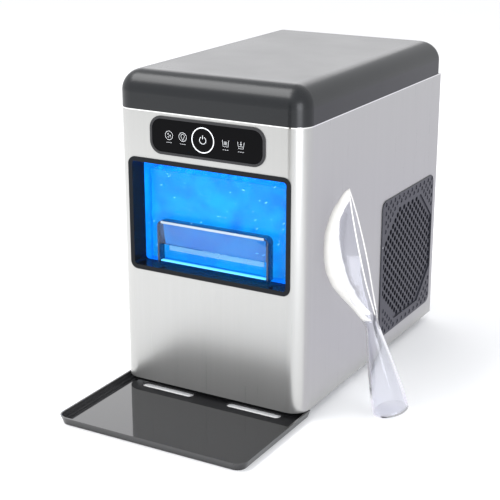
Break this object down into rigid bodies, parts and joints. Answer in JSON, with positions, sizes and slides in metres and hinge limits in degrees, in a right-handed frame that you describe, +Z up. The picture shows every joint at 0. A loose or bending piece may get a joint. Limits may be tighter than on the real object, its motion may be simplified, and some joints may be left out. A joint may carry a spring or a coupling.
{
  "type": "ice maker",
  "caption": "Countertop nugget ice maker: steel casing, soft-edged dark cover, lit recessed drawer window with finger pull, touch panel, side grille, drip tray and loose clear scoop.",
  "frame": {"origin": "centre of the casing footprint on the surface that the feet stand on", "axes": "+Z up, -Y towards the front with the window, +X to the right-hand side as seen from the front"},
  "size_m": [0.3636, 0.572, 0.411],
  "materials": {
    "stainless": "brushed, vertical grain",
    "galvanised": "zinc grey satin",
    "cover_plastic": "fine satin",
    "rubber": "matt",
    "frame_plastic": "gloss",
    "liner_plastic": "gloss",
    "lamp": "lit blue",
    "black_plastic": "satin",
    "clear_plastic": "clear",
    "bin_plastic": "frosted",
    "panel_glass": "mirror black",
    "circuit": "satin",
    "grille_plastic": "fine satin",
    "tank_plastic": "frosted",
    "white_plastic": "gloss",
    "hose": "satin",
    "inner_steel": "turned",
    "copper": "drawn copper",
    "foam": "open foam",
    "alloy": "as cast",
    "motor_paint": "satin black",
    "screw_steel": "bright",
    "tray_plastic": "gloss",
    "scoop_plastic": "clear",
    "bearing_brass": "sintered"
  },
  "bodies": {
    "housing": {"base_pan": "galvanised", "bin_sensors": "black_plastic", "board_tray": "galvanised", "bulkhead": "galvanised", "compartment_liner": "liner_plastic", "compressor_mounts": "rubber", "compressor_plate": "galvanised", "compressor_shell": "motor_paint", "condenser_coil": "motor_paint", "condenser_fins": "motor_paint", "condenser_plates": "motor_paint", "control_bezel": "black_plastic", "control_board": "circuit", "control_glass": "panel_glass", "cord_gland": "rubber", "discharge_line": "copper", "drain_hose": "hose", "drain_spout": "black_plastic", "drawer_runners": "liner_plastic", "evaporator_barrel": "inner_steel", "evaporator_coil": "copper", "evaporator_foam": "foam", "extruder_head": "white_plastic", "fan_bracket": "galvanised", "fan_motor": "motor_paint", "fan_shroud": "black_plastic", "feed_hose": "hose", "filter_drier": "copper", "float_stem": "white_plastic", "gear_motor": "motor_paint", "gearbox_case": "alloy", "housing_screws": "screw_steel", "ice_chute": "white_plastic", "led_strip": "lamp", "light_mask": "black_plastic", "liquid_lines": "copper", "lower_bearing": "bearing_brass", "power_board": "circuit", "rear_panel": "galvanised", "rubber_feet": "rubber", "side_grille": "grille_plastic", "stainless_wrap": "stainless", "suction_line": "copper", "terminal_cover": "black_plastic", "top_cover": "cover_plastic", "upper_bearing": "bearing_brass", "water_pump": "black_plastic", "water_tank": "tank_plastic", "window_frame": "frame_plastic"},
    "drawer": {"drawer_window": "clear_plastic", "drawer_pull": "clear_plastic", "ice_bin": "bin_plastic"},
    "tray": {"drip_tray": "tray_plastic"},
    "scoop": {"ice_scoop": "scoop_plastic"},
    "fan": {"fan_blades": "black_plastic"},
    "auger_shaft": {"auger": "inner_steel", "auger_gear": "inner_steel"},
    "pinion": {"motor_pinion": "inner_steel"},
    "float": {"water_float": "white_plastic"},
    "cap": {"drain_cap": "rubber"}
  },
  "joints": [
    {"name": "drawer_slide", "type": "slide", "parent": "housing", "child": "drawer", "axis": [0, -1, 0], "range_m": [0, 0.15]},
    {"name": "tray_slide", "type": "slide", "parent": "housing", "child": "tray", "axis": [0, -1, 0], "range_m": [0, 0.06]},
    {"name": "scoop_lift", "type": "slide", "parent": "housing", "child": "scoop", "axis": [0, 0, 1], "range_m": [0, 0.12]},
    {"name": "fan_spin", "type": "hinge", "parent": "housing", "child": "fan", "pos_m": [0.081, 0.1076, 0.1254], "axis": [1, 0, 0], "continuous": true},
    {"name": "auger_spin", "type": "hinge", "parent": "housing", "child": "auger_shaft", "pos_m": [-0.06, 0.045, 0.26], "axis": [0, 0, 1], "continuous": true},
    {"name": "pinion_spin", "type": "hinge", "parent": "housing", "child": "pinion", "pos_m": [-0.0267, 0.045, 0.195], "axis": [0, 0, 1], "continuous": true},
    {"name": "float_rise", "type": "slide", "parent": "housing", "child": "float", "axis": [0, 0, 1], "range_m": [0, 0.065]},
    {"name": "cap_pull", "type": "slide", "parent": "housing", "child": "cap", "axis": [0, 1, 0], "range_m": [0, 0.03]}
  ],
  "couplings": [
    {"joint": "pinion_spin", "follows": "auger_spin", "ratio": -2.6667}
  ]
}
